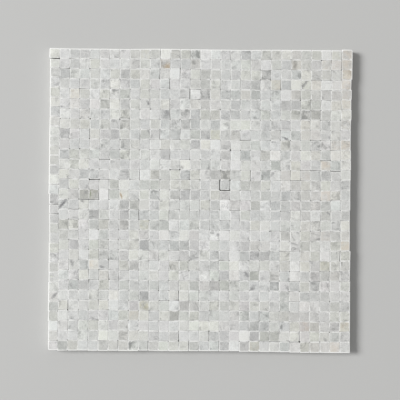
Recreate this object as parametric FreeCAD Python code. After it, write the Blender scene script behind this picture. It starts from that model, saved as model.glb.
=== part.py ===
import FreeCAD, Part
import os
import random
from math import pi, sin

# A square sheet of small honed marble chips, bonded face up on a backing mesh.
# Millimetres. The sheet lies flat: X runs across it, Y along its columns of chips, and +Z is
# the honed face. The origin is at the middle of the sheet, on the underside of the mesh.

# The chips
chip_side = 10.11            # over the sawn sides, where a chip fills its place
chip_thickness = 9.58        # the thickest chip
thickness_play = 0.14        # how much thinner the thinnest one is
arris_least = 0.24           # width of the worn slope round the honed face
arris_most = 0.48
arris_fall = 0.42            # how much it drops for its width
rim_arris_more = 0.35        # how much wider it is along the sheet's edge, with the same drop
corner_wear_least = 0.08     # worn upright corners, measured along each side
corner_wear_most = 0.80
corner_wear_bias = 5         # a high power leaves few corners with the most wear
face_corner_wear = 0.24      # how much more of a corner is worn off the face itself
slack_most = 0.26            # how far short of its place a corner of a chip may stop
slack_bias = 10              # a high power leaves most chips tight and a few with an open joint

# The layout
joint = 0.05                 # between two chips that fill their places
columns = 30
chips_along = 30             # chips in a column
extra_chips = {1: 1}         # the first column is made of one chip more, set closer
overrun = {30: 1.0}          # the last column stands this far past the top edge

# The joints that stand open: how far a chip stops short on one side, and which chips do. A
# chip is named by its column and by its course, counted from the bottom edge. Where a joint
# lies low, the chip above it reaches as far past its place as the one below it falls short.
just_ajar, ajar, part_open, well_open, wide_open = 0.22, 0.32, 0.40, 0.50, 0.72
lies_low = 0.30
short_on_left = {0.05: [(18, 17)], 0.25: [(30, 28), (30, 29), (30, 30)]}
short_on_right = {
    just_ajar: [(7, 1), (15, 6)],
    ajar: [
        (4, 22), (5, 16), (6, 16), (9, 18), (10, 25), (12, 14), (12, 20), (12, 22), (12, 23),
        (12, 24), (13, 6), (13, 28),
    ],
    part_open: [
        (9, 14), (11, 22), (11, 28), (12, 25), (13, 2), (14, 1), (16, 2), (17, 1), (21, 4),
        (25, 2),
    ],
    well_open: [(2, 5), (10, 1), (12, 27), (14, 26), (18, 17), (29, 10)],
    wide_open: [(17, 17)],
}
short_below = {0.10: [(18, 17)], -lies_low: [(1, 16), (1, 31), (29, 19)]}
short_above = {
    just_ajar: [(1, 17), (6, 17), (19, 14)],
    lies_low: [(1, 15), (1, 30), (29, 18)],
    ajar: [(3, 14), (23, 1), (25, 1), (28, 19)],
    part_open: [(1, 14), (4, 15), (5, 15), (6, 19), (13, 18)],
    well_open: [(1, 15), (5, 17), (29, 18)],
    wide_open: [(1, 30), (18, 16)],
}

# The uneven outline: how far the chips along an edge fall short of it or, below zero, reach
# past it. On the left and right edge they are named by course, on the lower one by column.
slight, fair, full = 0.35, 0.60, 0.85
left_edge = {
    full: (1, 2, 3, 12, 13, 14, 15, 16),
    slight: (4, 8, 9, 10, 11, 28, 29, 30),
    -slight: (31,),
}
right_edge = {
    full: (11, 12, 13, 14),
    slight: (15, 16, 17),
    -slight: (1, 2, 3, 4, 5, 6, 7, 19, 20, 24, 26),
    -full: (28, 29, 30),
}
lower_edge = {
    slight: (1,),
    -slight: (2, 3, 4, 7, 23, 24),
    -fair: (5, 6, 8, 9, 20, 21, 22, 25),
    -full: (26, 27, 28, 29, 30),
}

# The crossings where corners are knocked off, and how much of each: a crossing is named by
# the chip at its lower left
knocked_off = {
    0.85: [(18, 20), (25, 1)],
    0.66: [(1, 14), (7, 23), (12, 18), (18, 17)],
    0.54: [
        (4, 18), (5, 18), (13, 1), (13, 18), (15, 17), (16, 2), (17, 16), (17, 17), (21, 7),
        (29, 23),
    ],
    0.44: [
        (4, 17), (6, 15), (9, 23), (14, 8), (15, 19), (18, 16), (19, 15), (19, 22), (22, 12),
        (24, 21),
    ],
}

# Slow waves by which hand-set seams stray from straight lines: each has its share of the
# whole stray, its cycles across and along the sheet, and where it starts
seam_stray = 0.26
across_waves = ((1.0, 0.7, 1.9, 0.4), (0.45, 3.1, 4.6, 2.1))
along_waves = ((0.8, 2.3, 0.6, 1.3), (0.40, 5.2, 2.7, 4.0))

# The backing mesh, a laid scrim: weft strands bonded on the warp strands beneath them
strand_width = 0.80
warp_thickness = 0.25
weft_thickness = 0.25
bond_depth = 0.08            # how far a weft strand sinks into a warp strand where they cross
mesh_setback = 1.0           # from the sheet's edge to the trimmed ends of the strands
panels_across = 3            # the one mesh is stored as squares that meet edge to edge
strands_per_panel = 20

pitch = chip_side + joint
sheet_side = columns * pitch
mesh_top = warp_thickness + weft_thickness - bond_depth
mesh_side = sheet_side - 2 * mesh_setback
panel_side = mesh_side / panels_across
strand_pitch = panel_side / strands_per_panel

draw = random.Random(30)


def stray(x, y, waves):
    """How far the seams stray from the true grid at a point of the sheet."""
    return seam_stray * sum(
        share * sin(2 * pi * (across * x + along * y) / sheet_side + start)
        for share, across, along, start in waves
    )


def seam_crossing(x, y):
    """The point where two seams really cross, for a point of the true grid."""
    return FreeCAD.Vector(x + stray(x, y, across_waves), y + stray(x, y, along_waves), 0)


def shortfall(distances, named):
    """How far a chip falls short, from a list of distances and of the chips that each is for."""
    return sum(distance for distance, chips in distances.items() if named in chips)


def held_back(short):
    """How far a corner of a chip is held back from one seam."""
    return joint / 2 + short + slack_most * draw.random() ** slack_bias


def sawn_corners(place, number, course):
    """A chip's four corners, each held back from the corner of its place."""
    inward = ((1, 1), (-1, 1), (-1, -1), (1, -1))
    named = (number, course)
    left = shortfall(short_on_left, named)
    right = shortfall(short_on_right, named)
    below = shortfall(short_below, named)
    above = shortfall(short_above, named)
    if number == 1:
        left += shortfall(left_edge, course)
    if number == columns:
        right += shortfall(right_edge, course)
    if course == 1:
        below += shortfall(lower_edge, number)
    corners = []
    for corner, (to_right, to_top) in zip(place, inward):
        back_x = held_back(left if to_right > 0 else right)
        back_y = held_back(below if to_top > 0 else above)
        corners.append(corner + FreeCAD.Vector(to_right * back_x, to_top * back_y, 0))
    return corners


def worn_outline(corners, wear):
    """The outline with each corner cut off by its own wear."""
    outline = []
    for n, corner in enumerate(corners):
        for other in (corners[n - 1], corners[(n + 1) % len(corners)]):
            outline.append(corner + (other - corner).normalize() * wear[n])
    return outline


def inset(corners, distances):
    """A convex outline, drawn anticlockwise, with each side moved inwards by its own distance."""
    inward = []
    for n, corner in enumerate(corners):
        along = (corners[(n + 1) % len(corners)] - corner).normalize()
        inward.append(FreeCAD.Vector(-along.y, along.x, 0))
    moved = []
    for n, corner in enumerate(corners):
        lean = inward[n - 1].dot(inward[n])
        before = (distances[n - 1] - lean * distances[n]) / (1 - lean**2)
        after = (distances[n] - lean * distances[n - 1]) / (1 - lean**2)
        moved.append(corner + inward[n - 1] * before + inward[n] * after)
    return moved


def at_height(outline, height):
    return [point + FreeCAD.Vector(0, 0, height) for point in outline]


def flat_face(points):
    return Part.Face(Part.makePolygon(points + points[:1]))


def corner_wear(number, course):
    """How much is worn off each of a chip's four corners."""
    wear = []
    for across, along in ((-1, -1), (0, -1), (0, 0), (-1, 0)):
        rubbed = (corner_wear_most - corner_wear_least) * draw.random() ** corner_wear_bias
        crossing = (number + across, course + along)
        knocks = [depth for depth, crossings in knocked_off.items() if crossing in crossings]
        wear.append(max(knocks + [corner_wear_least + rubbed]))
    return wear


def chip(corners, wear, on_rim):
    """One chip: a worn square prism with a sloping arris round its face, wider on the sides
    that lie on the sheet's rim."""
    wear_at_face = [worn + face_corner_wear for worn in wear]
    arris = arris_least + (arris_most - arris_least) * draw.random()
    face_height = mesh_top + chip_thickness - thickness_play * draw.random()
    widths = [arris + rim_arris_more if outer else arris for outer in on_rim]
    plan = worn_outline(corners, wear)
    foot = at_height(plan, mesh_top)
    shoulder = at_height(plan, face_height - arris * arris_fall)
    face = at_height(worn_outline(inset(corners, widths), wear_at_face), face_height)
    faces = [flat_face(foot[::-1]), flat_face(face)]
    for low, high in ((foot, shoulder), (shoulder, face)):
        for n in range(len(plan)):
            after = (n + 1) % len(plan)
            faces.append(flat_face([low[n], low[after], high[after], high[n]]))
    return Part.makeSolid(Part.makeShell(faces))


def chip_column(number):
    """The chips of one column, from the bottom edge of the sheet to the top."""
    count = chips_along + extra_chips.get(number, 0)
    pitch_along = (sheet_side + overrun.get(number, 0)) / count
    left = (number - 1) * pitch - sheet_side / 2
    chips = []
    for course in range(count):
        low = course * pitch_along - sheet_side / 2
        place = [
            seam_crossing(left, low),
            seam_crossing(left + pitch, low),
            seam_crossing(left + pitch, low + pitch_along),
            seam_crossing(left, low + pitch_along),
        ]
        # its lower, right, upper and left side, in the order of its corners
        on_rim = (course == 0, number == columns, course == count - 1, number == 1)
        corners = sawn_corners(place, number, course + 1)
        chips.append(chip(corners, corner_wear(number, course + 1), on_rim))
    return Part.makeCompound(chips)


def mesh_panel():
    """One square of the mesh, with its corner at the origin."""
    warp, weft = [], []
    for strand in range(strands_per_panel):
        start = (strand + 0.5) * strand_pitch - strand_width / 2
        on_floor = FreeCAD.Vector(start, 0, 0)
        on_warp = FreeCAD.Vector(0, start, warp_thickness - bond_depth)
        warp.append(Part.makeBox(strand_width, panel_side, warp_thickness, on_floor))
        weft.append(Part.makeBox(panel_side, strand_width, weft_thickness, on_warp))
    return warp[0].multiFuse(warp[1:] + weft).Solids[0]


os.makedirs("parts", exist_ok=True)

for number in range(1, columns + 1):
    chip_column(number).exportStep(f"parts/chip_column_{number:02d}.step")

one_panel = mesh_panel()
for across in range(panels_across):
    for along in range(panels_across):
        corner = FreeCAD.Vector(
            across * panel_side - mesh_side / 2, along * panel_side - mesh_side / 2, 0
        )
        panel = one_panel.translated(corner)
        panel.exportStep(f"parts/backing_mesh_{across + 1}_{along + 1}.step")
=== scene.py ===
from math import cos, exp, pi, radians, sin
from random import Random

import bpy
import numpy as np
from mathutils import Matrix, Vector


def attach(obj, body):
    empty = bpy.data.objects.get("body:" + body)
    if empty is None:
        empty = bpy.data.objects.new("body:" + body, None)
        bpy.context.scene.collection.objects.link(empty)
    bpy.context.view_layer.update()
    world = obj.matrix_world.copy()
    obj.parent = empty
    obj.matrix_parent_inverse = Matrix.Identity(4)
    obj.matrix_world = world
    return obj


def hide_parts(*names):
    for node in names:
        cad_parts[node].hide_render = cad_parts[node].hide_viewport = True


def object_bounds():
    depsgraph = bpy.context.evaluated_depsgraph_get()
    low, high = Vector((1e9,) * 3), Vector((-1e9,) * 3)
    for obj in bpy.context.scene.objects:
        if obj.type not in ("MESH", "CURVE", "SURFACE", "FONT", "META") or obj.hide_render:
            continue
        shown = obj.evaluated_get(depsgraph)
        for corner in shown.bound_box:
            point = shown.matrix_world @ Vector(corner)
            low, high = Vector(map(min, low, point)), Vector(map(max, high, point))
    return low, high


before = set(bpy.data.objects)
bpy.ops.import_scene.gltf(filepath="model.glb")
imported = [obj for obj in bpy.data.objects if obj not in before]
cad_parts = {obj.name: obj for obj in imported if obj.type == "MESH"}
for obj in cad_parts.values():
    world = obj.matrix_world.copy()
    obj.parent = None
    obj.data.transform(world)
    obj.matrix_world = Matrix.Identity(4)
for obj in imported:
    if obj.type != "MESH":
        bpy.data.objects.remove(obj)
cad_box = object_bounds()
millimetre = 0.001


# The chips: squares sawn from a slab of grey-white marble, honed on one face and then tumbled
# with grit, which rounds their corners and bruises every arris. They are glued to the mesh a
# column at a time, almost edge to edge, and the first column takes one chip more.
columns = 30
long_side = 5 * millimetre
shoulder_rounding = 0.08 * millimetre
side_wear = 0.025 * millimetre
nick_depth = 0.16 * millimetre
wall_below, honed_above = 0.3, 0.999    # how far up a face's normal points
smooth_below = radians(62)


def deselect_all():
    if bpy.context.mode != "OBJECT":
        bpy.ops.object.mode_set(mode="OBJECT")
    bpy.ops.object.select_all(action="DESELECT")


def pick(piece):
    """Makes a piece the one that the operators work on."""
    deselect_all()
    piece.select_set(True)
    bpy.context.view_layer.objects.active = piece


def select_in(piece, kind, wanted):
    """Goes to edit mode with those edges or points selected that wanted() is true for."""
    bpy.ops.object.mode_set(mode="EDIT")
    bpy.ops.mesh.select_mode(type=kind)
    bpy.ops.mesh.select_all(action="DESELECT")
    bpy.ops.object.mode_set(mode="OBJECT")
    for item in piece.data.edges if kind == "EDGE" else piece.data.vertices:
        item.select = bool(wanted(item))
    bpy.ops.object.mode_set(mode="EDIT")


def apply_modifier(piece, kind, **settings):
    """Gives the active piece a modifier and applies it at once."""
    modifier = piece.modifiers.new(kind.lower(), kind)
    for name, value in settings.items():
        setattr(modifier, name, value)
    bpy.ops.object.modifier_apply(modifier=modifier.name)


def clouds(name, size, contrast):
    """A cloudy pattern for wear, with lumps of that size. Its ramp keeps it between 0 and 1."""
    pattern = bpy.data.textures.new(name, "CLOUDS")
    pattern.noise_scale = size
    pattern.noise_depth = 1
    pattern.contrast = contrast
    pattern.use_color_ramp = True
    return pattern


rubbing = clouds("rubbing", 2.4 * millimetre, 1.6)
knocks = clouds("knocks", 5.0 * millimetre, 4.0)


def worn_chips(number):
    """One column of chips, worn from the plain solids of the frame."""
    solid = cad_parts[f"chip_column_{number:02d}"]
    piece = bpy.data.objects.new(f"chips_of_column_{number:02d}", solid.data.copy())
    bpy.context.scene.collection.objects.link(piece)
    piece.data.materials.clear()
    pick(piece)
    bpy.ops.object.mode_set(mode="EDIT")
    bpy.ops.mesh.select_all(action="SELECT")
    bpy.ops.mesh.remove_doubles(threshold=0.001 * millimetre)
    bpy.ops.mesh.dissolve_limited(angle_limit=radians(0.5))
    bpy.ops.object.mode_set(mode="OBJECT")

    points = piece.data.vertices
    foot = min(point.co.z for point in points)

    def runs_along_a_side(edge):
        start, end = (points[n].co for n in edge.vertices)
        return abs(end.z - start.z) < millimetre and (end - start).length > long_side

    select_in(piece, "EDGE", runs_along_a_side)
    bpy.ops.mesh.subdivide(number_cuts=2)
    bpy.ops.object.mode_set(mode="OBJECT")
    walls = {
        key for face in piece.data.polygons if abs(face.normal.z) < wall_below
        for key in face.edge_keys
    }
    slopes = {
        key for face in piece.data.polygons if wall_below < face.normal.z < honed_above
        for key in face.edge_keys
    }
    select_in(piece, "EDGE", lambda edge: edge.key in walls and edge.key in slopes)
    bpy.ops.mesh.bevel(offset=shoulder_rounding, segments=1, affect="EDGES")
    bpy.ops.object.mode_set(mode="OBJECT")
    honed = {
        n for face in piece.data.polygons if face.normal.z > honed_above for n in face.vertices
    }
    shoulders = [
        point.index for point in piece.data.vertices
        if point.index not in honed and point.co.z > foot + millimetre
    ]
    piece.vertex_groups.new(name="shoulders").add(shoulders, 1.0, "REPLACE")
    for pattern, way, depth in ((rubbing, "NORMAL", side_wear), (knocks, "Z", nick_depth)):
        apply_modifier(
            piece, "DISPLACE", texture=pattern, texture_coords="LOCAL", direction=way,
            vertex_group="shoulders", strength=depth, mid_level=1.0,
        )
    bpy.ops.object.shade_smooth_by_angle(angle=smooth_below)
    apply_modifier(piece, "WEIGHTED_NORMAL", mode="FACE_AREA", keep_sharp=True)
    return piece


# Where each chip was cut from the slab, which way round it lies, and its own shade and
# figure. Each is named by its column and course: a few are white, dark, peach, straw or
# strongly veined, and most have a faint streak or smudge somewhere, a few a dark one. Now
# and then neighbours are from one strip, and then they are alike. The columns towards the
# right edge are warmer, and the chips at the top left are lighter.
draw = Random(2407)
slab_side = 3.0
out_of_square = 0.12
figure_spread = 0.50
white_or_dark = 2.9
white_figure = 0.5
most_shade = 2.2
deepest_faint_streak = 0.57
faint_run = 15, 75    # degrees
faint_half_length = 3.0 * millimetre, 7.5 * millimetre
faint_half_width = 0.9 * millimetre, 3.4 * millimetre
one_strip = 0.10
warmer_columns = range(25, 31)
warmer_tint, cooler_tint = (0.7, 0.18), (-0.3, 0.0)
paler_columns, paler_courses = range(1, 19), range(25, 32)
paler = 0.35
white = [
    (20, 2), (19, 9), (13, 28), (1, 3), (25, 9), (6, 2), (10, 18), (12, 30), (17, 21), (23, 20),
    (2, 24), (6, 16), (14, 19),
]
dark = [
    (23, 7), (5, 14), (5, 16), (22, 28), (10, 11), (13, 4), (4, 16), (22, 18), (21, 8), (27, 24),
    (10, 6), (26, 24), (18, 18),
]
peach = {
    (12, 29): 0.4, (8, 16): 0.15, (5, 9): 0.6, (28, 19): 0.55, (30, 11): 0.6, (30, 21): 0.55,
    (30, 30): 0.5, (30, 29): 0.5, (30, 28): 0.5, (30, 27): 0.5, (30, 26): 0.25, (30, 25): 0.35,
    (30, 23): 0.2, (30, 3): 0.45, (29, 1): 0.4, (29, 21): 0.3, (29, 29): 0.25, (28, 29): 0.35,
    (28, 16): 0.6, (28, 12): 0.25, (26, 3): 0.4, (26, 18): 0.25, (25, 29): 0.15, (23, 27): 0.35,
    (21, 1): 0.3, (9, 4): 0.25, (3, 26): 0.35,
}
straw = {
    (5, 16): 0.35, (10, 5): 0.95, (17, 22): 0.4, (10, 13): 0.6, (10, 30): 0.4, (28, 9): 0.4,
    (29, 30): 0.35,
}
veined = {(3, 19): 0.9, (5, 26): 0.8}
streak_at = {
    (2, 15): (-0.2, 0.0, 1.0), (12, 29): (0.5, -0.5, 0.9), (8, 16): (-0.6, -0.2, 1.0),
    (5, 16): (-0.7, 0.1, 0.9), (21, 7): (-0.5, -0.7, 0.7), (24, 22): (0.1, -0.7, 0.95),
    (14, 19): (-0.6, -0.6, 0.6), (28, 14): (0.6, 0.5, 0.65), (1, 6): (0.4, 0.4, 0.7),
    (3, 9): (-0.4, 0.5, 0.65), (28, 2): (0.2, -0.7, 0.5), (26, 27): (-0.5, 0.0, 0.75),
    (12, 24): (0.6, 0.2, 0.55), (10, 25): (0.7, 0.2, 0.85), (6, 9): (-0.5, -0.4, 0.65),
}
slash = {"run": radians(53), "half_length": 10.5 * millimetre, "half_width": 2.3 * millimetre}
upright = {"run": radians(90), "half_length": 5.5 * millimetre, "half_width": 1.1 * millimetre}
falling = {"run": radians(-72), "half_length": 5.0 * millimetre, "half_width": 1.3 * millimetre}
broad = {"run": radians(20), "half_length": 6.0 * millimetre, "half_width": 4.0 * millimetre}
streak_shape = {
    (2, 15): slash, (26, 27): slash, (5, 16): upright, (8, 16): falling, (12, 29): broad,
}


def towards_an_edge():
    """A place on a chip from -1 to 1, or just off it, more often near its edges."""
    return draw.choice((1, -1)) * draw.random() ** 0.35 * 1.15


def streak_on(where):
    """Where the streak of a chip has its middle, how deep it is, and its run and size."""
    faint = 0 if where in white else deepest_faint_streak * draw.random() ** 3
    if where in peach:
        faint = 0
    *place, depth = streak_at.get(where, (towards_an_edge(), towards_an_edge(), faint))
    shape = {
        "run": radians(draw.choice((1, -1)) * draw.uniform(*faint_run)),
        "half_length": draw.uniform(*faint_half_length),
        "half_width": draw.uniform(*faint_half_width),
    }
    return place, depth, streak_shape.get(where, shape)


shades = {}


def shade_of(where):
    """How light or dark a chip is, now and then the same as the one below it or to its left."""
    column, course = where
    shade = max(-most_shade, min(most_shade, draw.gauss(0, 1)))
    for neighbour in ((column, course - 1), (column - 1, course)):
        if draw.random() < one_strip:
            shade = shades.get(neighbour, shade)
    shades[where] = shade
    if column in paler_columns and course in paler_courses:
        shade += paler
    if where in white or where in dark:
        shade = white_or_dark if where in white else -white_or_dark
    return shade


def chip_of_each_point(mesh):
    """Gives each point of a mesh the number of the loose chip that it is part of."""
    ends = np.zeros(len(mesh.edges) * 2, int)
    mesh.edges.foreach_get("vertices", ends)
    ends = ends.reshape(-1, 2)
    chip = np.arange(len(mesh.vertices))
    while (chip[ends[:, 0]] != chip[ends[:, 1]]).any():
        lowest = chip[ends].min(axis=1)
        np.minimum.at(chip, ends[:, 0], lowest)
        np.minimum.at(chip, ends[:, 1], lowest)
    return np.unique(chip, return_inverse=True)[1]


def store(mesh, name, values):
    """Writes three numbers on each point of a mesh."""
    attribute = mesh.attributes.new(name, "FLOAT_VECTOR", "POINT")
    attribute.data.foreach_set("vector", values.astype(np.float32).ravel())


def cut_from_slab(piece, number):
    """Writes on each chip where in the slab it was cut, its place in itself and its shade."""
    mesh = piece.data
    at = np.zeros(len(mesh.vertices) * 3)
    mesh.vertices.foreach_get("co", at)
    at = at.reshape(-1, 3)
    chip = chip_of_each_point(mesh)
    low = np.array([at[chip == n].min(axis=0) for n in range(chip.max() + 1)])
    high = np.array([at[chip == n].max(axis=0) for n in range(chip.max() + 1)])
    middle, half = (low + high) / 2, (high - low) / 2
    slab_place, chip_place, chip_shade, chip_tint, chip_streak = np.zeros((5, *at.shape))
    pinker, yellower = warmer_tint if number in warmer_columns else cooler_tint
    for course, n in enumerate(np.argsort(middle[:, 1]), start=1):
        own = chip == n
        where = (number, course)
        on_chip = at[own] - middle[n]
        turn = pi / 2 * draw.randrange(4) + draw.gauss(0, out_of_square)
        turning = np.array([[cos(turn), sin(turn), 0], [-sin(turn), cos(turn), 0], [0, 0, 1]])
        cut_at = [draw.uniform(-slab_side, slab_side) for _ in range(3)]
        slab_place[own] = on_chip @ turning + cut_at
        chip_place[own] = on_chip / half[n]
        figure = exp(draw.gauss(0, figure_spread)) * (white_figure if where in white else 1)
        chip_shade[own] = shade_of(where), veined.get(where, draw.random() ** 3), figure
        warm = peach.get(where, 0) - straw.get(where, 0)
        chip_tint[own] = draw.gauss(0, 1) + pinker, draw.random() ** 2 + yellower, warm
        place, depth, shape = streak_on(where)
        from_streak = on_chip[:, :2] - place * half[n][:2]
        along_it = np.array([cos(shape["run"]), sin(shape["run"])])
        across_it = np.array([-sin(shape["run"]), cos(shape["run"])])
        chip_streak[own, 0] = from_streak @ along_it / shape["half_length"]
        chip_streak[own, 1] = from_streak @ across_it / shape["half_width"]
        chip_streak[own, 2] = depth
    store(mesh, "slab_place", slab_place)
    store(mesh, "chip_place", chip_place)
    store(mesh, "chip_shade", chip_shade)
    store(mesh, "chip_tint", chip_tint)
    store(mesh, "chip_streak", chip_streak)


class Amount:
    """A number that a material works out, on which Python's operators act."""

    def __init__(self, finish, socket):
        self.finish, self.socket = finish, socket

    def math(self, operation, *numbers):
        sockets = dict(enumerate(numbers))
        return self.finish.node("ShaderNodeMath", {"operation": operation}, sockets)

    def __add__(self, other):
        return self.math("ADD", self, other)

    def __radd__(self, other):
        return self.math("ADD", other, self)

    def __sub__(self, other):
        return self.math("SUBTRACT", self, other)

    def __rsub__(self, other):
        return self.math("SUBTRACT", other, self)

    def __mul__(self, other):
        return self.math("MULTIPLY", self, other)

    def __pow__(self, other):
        return self.math("POWER", self, other)

    def __abs__(self):
        return self.math("ABSOLUTE", self)

    def or_more(self, other):
        return self.math("MAXIMUM", self, other)

    def or_less(self, other):
        return self.math("MINIMUM", self, other)


class Finish:
    """A material, put together from nodes around one shader."""

    def __init__(self, name):
        self.material = bpy.data.materials.new(name)
        self.material.use_nodes = True
        self.nodes = self.material.node_tree.nodes
        self.shader = self.nodes["Principled BSDF"]

    def link(self, value, socket):
        if isinstance(value, Amount):
            self.material.node_tree.links.new(value.socket, socket)
        else:
            socket.default_value = value

    def node(self, kind, settings, sockets, output=0):
        """Adds a node with its settings, and the values or links of its sockets."""
        made = self.nodes.new(kind)
        for name, value in settings.items():
            if name == "stops":
                for stop, (position, colour) in zip(made.color_ramp.elements, value):
                    stop.position, stop.color = position, colour
                for position, colour in value[2:]:
                    made.color_ramp.elements.new(position).color = colour
            else:
                setattr(made, name, value)
        for name, value in sockets.items():
            self.link(value, made.inputs[name])
        return Amount(self, made.outputs[output])

    def painted(self, name):
        """Reads what was written on a piece's points."""
        return self.node("ShaderNodeAttribute", {"attribute_name": name}, {}, "Vector")

    def parts(self, vector):
        """The three numbers of a vector."""
        split = self.nodes.new("ShaderNodeSeparateXYZ")
        self.link(vector, split.inputs[0])
        return [Amount(self, socket) for socket in split.outputs]

    def stretch(self, place, by):
        """Squeezes or stretches the place at which a pattern is read."""
        return self.node("ShaderNodeVectorMath", {"operation": "MULTIPLY"}, {0: place, 1: by})

    def noise(self, place, size, detail=2.0, output="Fac"):
        """A cloudy pattern with lumps of that size."""
        sockets = {"Vector": place, "Scale": 1 / size, "Detail": detail}
        return self.node("ShaderNodeTexNoise", {}, sockets, output)

    def ease(self, value, low, high, to_low=0.0, to_high=1.0):
        """A smooth step as value goes from low to high."""
        sockets = {"Value": value, 1: low, 2: high, 3: to_low, 4: to_high}
        return self.node("ShaderNodeMapRange", {"interpolation_type": "SMOOTHSTEP"}, sockets)

    def mix(self, below, above, share, way="MIX"):
        """Lays one colour over another."""
        settings = {"data_type": "RGBA", "blend_type": way}
        return self.node("ShaderNodeMix", settings, {0: share, 6: below, 7: above}, 2)

    def give(self, **sockets):
        """Links or sets the shader's own sockets."""
        for name, value in sockets.items():
            self.link(value, self.shader.inputs[name.replace("_", " ")])


# The marble: soft grey clouds and smudges, faint growth rings and a few slanting veins on a
# pale ground, honed dull. The tumbled arrises are bruised chalky white, and brighter still as
# painted highlight along the seams and most of all at the sheet's rim. The sawn sides are
# dusty, pale on the outer rim and darkened grey as painted shade down in the joints, and the
# adhesive that holds the mesh has dried to a milky film on the back.
dark_grey = (0.340, 0.345, 0.340, 1)
pale_grey = (0.623, 0.627, 0.617, 1)
near_white = (0.890, 0.895, 0.880, 1)
# the bruised arrises' chalky white, laid on brighter than the bruising alone as painted
# highlight along the seams
chalk_and_highlight = (0.93, 0.93, 0.905, 1)
peach_stain = (0.70, 0.54, 0.37, 1)
straw_stain = (0.70, 0.65, 0.40, 1)
streak_grey = (0.215, 0.215, 0.222, 1)
ochre = (0.45, 0.36, 0.25, 1)
olive = (0.27, 0.30, 0.21, 1)
saw_dust = (0.72, 0.72, 0.70, 1)
# painted shade: the dark grey laid on the chips' walls down in the joints
joint_shade = (0.34, 0.335, 0.32, 1)
dried_glue = (0.80, 0.80, 0.76, 1)
light_reach = 1.5 * millimetre
rim_from, rim_to = 149.2 * millimetre, 151.6 * millimetre

marble = Finish("honed marble")
slab = marble.painted("slab_place")
across, along, up = marble.parts(marble.painted("chip_place"))
tone, veining, figure = marble.parts(marble.painted("chip_shade"))
pinkness, yellowness, stain = marble.parts(marble.painted("chip_tint"))

swirl = marble.noise(slab, 14 * millimetre, 3.0, "Color")
bent = marble.node(
    "ShaderNodeVectorMath", {"operation": "MULTIPLY_ADD"},
    {0: swirl, 1: (7 * millimetre,) * 3, 2: slab},
)
ridge = marble.noise(marble.stretch(bent, (1.0, 0.34, 0.6)), 6.5 * millimetre, 1.5)
vein_line = 1 - marble.ease(abs(ridge - 0.5), 0.0, 0.055)
vein_patches = marble.ease(marble.noise(bent, 11 * millimetre), 0.40, 0.62)
veins = vein_line * vein_patches * veining
cloud = marble.noise(slab, 8 * millimetre, 4.0) - 0.5
mottle = marble.noise(bent, 2.4 * millimetre, 2.0) - 0.5
flecks = marble.noise(slab, 1.1 * millimetre, 1.0) - 0.5
smudge = marble.ease(marble.noise(bent, 7 * millimetre, 1.0), 0.56, 0.74)
growth = marble.noise(bent, 7 * millimetre, 0.5)
rings = marble.node("ShaderNodeMath", {"operation": "SINE"}, {0: growth * 42})
crystals = marble.noise(slab, 0.45 * millimetre, 2.0) - 0.5
drawn = cloud * 0.45 - smudge * 0.14 + mottle * 0.15 + flecks * 0.09 + rings * 0.018
grain = mottle * 0.17 + flecks * 0.38 + crystals * 0.25
lightness = 0.526 + tone * 0.098 + drawn * figure + grain - veins * 0.42
ground = marble.node(
    "ShaderNodeValToRGB",
    {"stops": ((0.0, dark_grey), (1.0, near_white), (0.5, pale_grey))},
    {"Fac": lightness},
)
tint = marble.node(
    "ShaderNodeCombineColor", {},
    {"Red": 1 + pinkness * 0.006, "Green": 1 - pinkness * 0.003, "Blue": 1 - yellowness * 0.055},
)
ground = marble.mix(ground, tint, 1.0, "MULTIPLY")
patch = marble.ease(marble.noise(bent, 5 * millimetre), 0.36, 0.62, 0.35, 1.0)
warm, yellow = stain.or_more(0), (0 - stain).or_more(0)
stained = marble.mix(ground, peach_stain, warm * patch * 0.46)
stained = marble.mix(stained, straw_stain, yellow * patch * 0.38)
along_streak, across_streak, depth = marble.parts(marble.painted("chip_streak"))
from_streak = (along_streak ** 2 + across_streak ** 2) ** 0.5 + (mottle + flecks) * 0.9
streak = marble.mix(streak_grey, ochre, (warm * 8).or_less(1))
streak = marble.mix(streak, olive, (yellow * 8).or_less(1))
stained = marble.mix(stained, streak, (1 - marble.ease(from_streak, 0.05, 1.1)) * depth)

edge = abs(across).or_more(abs(along) + 0.019)
sheet_x, sheet_y, _ = marble.parts(marble.node("ShaderNodeTexCoord", {}, {}, "Object"))
from_middle = abs(sheet_x).or_more(abs(sheet_y))
# the sheet's outer rim, painted as lit: its arrises get extra painted highlight and its walls
# stay pale, while the joints inside get painted shade
lit_rim = marble.ease(from_middle, rim_from, rim_to)
ragged = marble.noise(slab, 1.3 * millimetre, 2.0) - 0.5
bruising = marble.ease(marble.noise(slab, 6 * millimetre), 0.38, 0.60, 0.22, 1.0)
# where the arrises are bruised chalky, which also serves as painted highlight along the seams,
# wider and fuller at the sheet's rim
bruise_and_highlight = (
    marble.ease(edge + ragged * 0.06 + lit_rim * 0.06, 0.865, 0.925) * marble.ease(up, 0.80, 0.95)
)
bruised_and_highlit = marble.mix(stained, chalk_and_highlight, bruise_and_highlight * bruising.or_more(lit_rim))
side = 1 - marble.ease(up + ragged * 0.05, 0.89, 0.955)
saw_marks = marble.noise(marble.stretch(slab, (0.03, 0.03, 1.0)), 0.30 * millimetre, 1.0) - 0.5
# the sawn sides: pale saw dust on the outer walls, painted shade on the walls in the joints
sawn_side_and_joint_shade = marble.mix(joint_shade, saw_dust, lit_rim)
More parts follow.
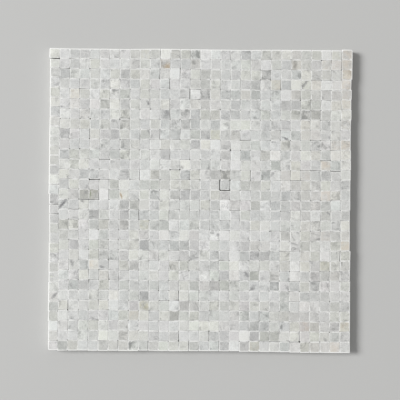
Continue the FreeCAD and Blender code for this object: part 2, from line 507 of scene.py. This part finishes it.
# how far the side colour covers: mostly painted shade in the joints, a thinner, saw-marked dust
# on the outer walls
dust_and_shade = 0.9 - lit_rim * (0.42 - saw_marks * 0.9)
dusty_and_shaded = marble.mix(bruised_and_highlit, sawn_side_and_joint_shade, side * dust_and_shade)
under = 1 - marble.ease(up, -0.97, -0.90)
glue = marble.ease(marble.noise(slab, 3.2 * millimetre, 2.0), 0.36, 0.58, 0.25, 0.9)
marble.give(
    Base_Color=marble.mix(dusty_and_shaded, dried_glue, under * glue),
    Roughness=0.46 + bruise_and_highlight * 0.26 + side * 0.2 + crystals * 0.12 - under * glue * 0.3,
    Subsurface_Weight=0.25,
    Subsurface_Radius=(1.0, 1.0, 0.95),
    Subsurface_Scale=light_reach,
    Normal=marble.node(
        "ShaderNodeBump", {},
        {
            "Strength": 0.35, "Distance": 0.05 * millimetre,
            "Height": crystals + mottle * 0.6 + saw_marks * side * 1.5,
        },
    ),
)

for number in range(1, columns + 1):
    chips = worn_chips(number)
    cut_from_slab(chips, number)
    chips.data.materials.append(marble.material)
    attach(chips, "root")
    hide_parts(f"chip_column_{number:02d}")


# The backing mesh: a laid scrim of glass-fibre strands in a milky resin, the weft bonded on
# the warp and two strands to a chip. A strand is squeezed wide where it is crossed.
strand_sides = 6
crossings = 60
strand_width_between = 0.62 * millimetre
strand_width_crossed = 0.94 * millimetre
strand_thickness = 0.24 * millimetre
warp_height = 0.125 * millimetre
weft_height = 0.295 * millimetre
strand_waver = 0.5 * millimetre

mesh_nodes = [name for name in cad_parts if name.startswith("backing_mesh")]
solid_points = np.array([
    point.co for name in mesh_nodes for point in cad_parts[name].data.vertices
])
mesh_low = Vector(solid_points.min(axis=0))
strand_pitch = (solid_points.max(axis=0) - solid_points.min(axis=0))[0] / crossings


waver = clouds("waver", 30 * millimetre, 1.0)


def laid_strands(height):
    """Strands side by side along Y, each squeezed where it is crossed, and wavering a little."""
    deselect_all()
    radius = strand_width_between / 2
    first_crossing = mesh_low + Vector((strand_pitch / 2, strand_pitch / 2, height))
    bpy.ops.mesh.primitive_cylinder_add(
        vertices=strand_sides, radius=radius, depth=strand_pitch / 2, end_fill_type="NOTHING",
        location=first_crossing + Vector((0, strand_pitch / 4, 0)),
        rotation=(pi / 2, pi / strand_sides, 0),
    )
    strands = bpy.context.object
    bpy.context.scene.cursor.location = first_crossing
    bpy.ops.object.transform_apply(location=False, rotation=True, scale=True)
    bpy.ops.object.origin_set(type="ORIGIN_CURSOR")
    flat = strand_thickness / (radius * 2 * cos(pi / strand_sides))
    for ring, wide in ((False, 1.0), (True, strand_width_crossed / strand_width_between)):
        select_in(strands, "VERT", lambda point: (point.co.y < strand_pitch / 4) == ring)
        bpy.ops.transform.resize(value=(wide, 1, flat), center_override=first_crossing)
        bpy.ops.object.mode_set(mode="OBJECT")
    apply_modifier(strands, "MIRROR", use_axis=(False, True, False), merge_threshold=1e-6)
    apply_modifier(
        strands, "ARRAY", count=crossings, use_relative_offset=False, use_constant_offset=True,
        constant_offset_displace=(0, strand_pitch, 0), use_merge_vertices=True,
        merge_threshold=1e-6,
    )
    bpy.ops.object.mode_set(mode="EDIT")
    bpy.ops.mesh.select_all(action="SELECT")
    bpy.ops.mesh.fill_holes(sides=strand_sides)
    bpy.ops.mesh.normals_make_consistent(inside=False)
    bpy.ops.object.mode_set(mode="OBJECT")
    apply_modifier(
        strands, "ARRAY", count=crossings, use_relative_offset=False, use_constant_offset=True,
        constant_offset_displace=(strand_pitch, 0, 0),
    )
    bpy.ops.object.transform_apply(location=True, rotation=False, scale=False)
    apply_modifier(strands, "DISPLACE", texture=waver, direction="X", strength=strand_waver)
    return strands


warp = laid_strands(warp_height)
weft = laid_strands(weft_height)
weft.rotation_euler.z = pi / 2
bpy.ops.object.transform_apply(location=False, rotation=True, scale=False)
pick(warp)
weft.select_set(True)
bpy.ops.object.join()
scrim = warp
scrim.name = "backing_mesh"
bpy.ops.object.shade_smooth()

resin_white = (0.86, 0.86, 0.83, 1)
fibre_grey = (0.70, 0.71, 0.69, 1)
resin = Finish("resin-coated scrim")
place = resin.node("ShaderNodeTexCoord", {}, {}, "Object")
height = resin.parts(place)[2]
warp_fibres = resin.noise(resin.stretch(place, (1, 0.04, 1)), 0.10 * millimetre, 1.0)
weft_fibres = resin.noise(resin.stretch(place, (0.04, 1, 1)), 0.10 * millimetre, 1.0)
is_weft = resin.ease(height, 0.19 * millimetre, 0.21 * millimetre)
fibres = warp_fibres * (1 - is_weft) + weft_fibres * is_weft
beads = resin.ease(resin.noise(place, 1.8 * millimetre, 2.0), 0.45, 0.62)
resin.give(
    Base_Color=resin.mix(fibre_grey, resin_white, fibres * 0.5 + beads * 0.5),
    Roughness=0.52 - beads * 0.2,
    Normal=resin.node(
        "ShaderNodeBump", {},
        {"Strength": 0.6, "Distance": 0.04 * millimetre, "Height": fibres + beads * 0.4},
    ),
)
scrim.data.materials.clear()
scrim.data.materials.append(resin.material)
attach(scrim, "root")
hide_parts(*mesh_nodes)


# The studio: a pale floor under the sheet, and one large soft light far off to the left, as
# high as half way up, which leaves the shadow on the right.
floor_side = 6.0
light_height = radians(39)
light_turn = radians(168)
light_distance = 9.0
light_side = 3.75
light_power = 790.0
sky_strength = 0.38
paper_grey = (0.54, 0.54, 0.53, 1)

deselect_all()
bpy.ops.mesh.primitive_plane_add(size=floor_side)
floor = bpy.context.object
floor.name = "floor"
paper = Finish("floor paper")
paper.give(Base_Color=paper_grey, Roughness=0.9)
floor.data.materials.append(paper.material)

sheet_middle = Vector((0, 0, cad_box[1].z))
towards_light = Vector((
    cos(light_turn) * cos(light_height), sin(light_turn) * cos(light_height), sin(light_height)
))
bpy.ops.object.light_add(type="AREA", location=sheet_middle + towards_light * light_distance)
lamp = bpy.context.object
lamp.rotation_euler = towards_light.to_track_quat("Z", "Y").to_euler()
lamp.data.shape = "DISK"
lamp.data.size = light_side
lamp.data.energy = light_power

sky = bpy.data.worlds.new("studio")
sky.use_nodes = True
sky.node_tree.nodes["Background"].inputs["Color"].default_value = (1, 1, 1, 1)
sky.node_tree.nodes["Background"].inputs["Strength"].default_value = sky_strength
bpy.context.scene.world = sky
bpy.context.scene.view_settings.view_transform = "Standard"


# The camera: held straight over the sheet, a shade out of level, as in the photograph.
camera_at = Vector((-0.00154, -0.00346, 0.8))
camera_turn = (radians(0.258), radians(-0.131), radians(0.432))
camera_lens = 70.43

bpy.ops.object.camera_add(location=camera_at, rotation=camera_turn)
camera = bpy.context.object
camera.data.lens = camera_lens
bpy.context.scene.camera = camera
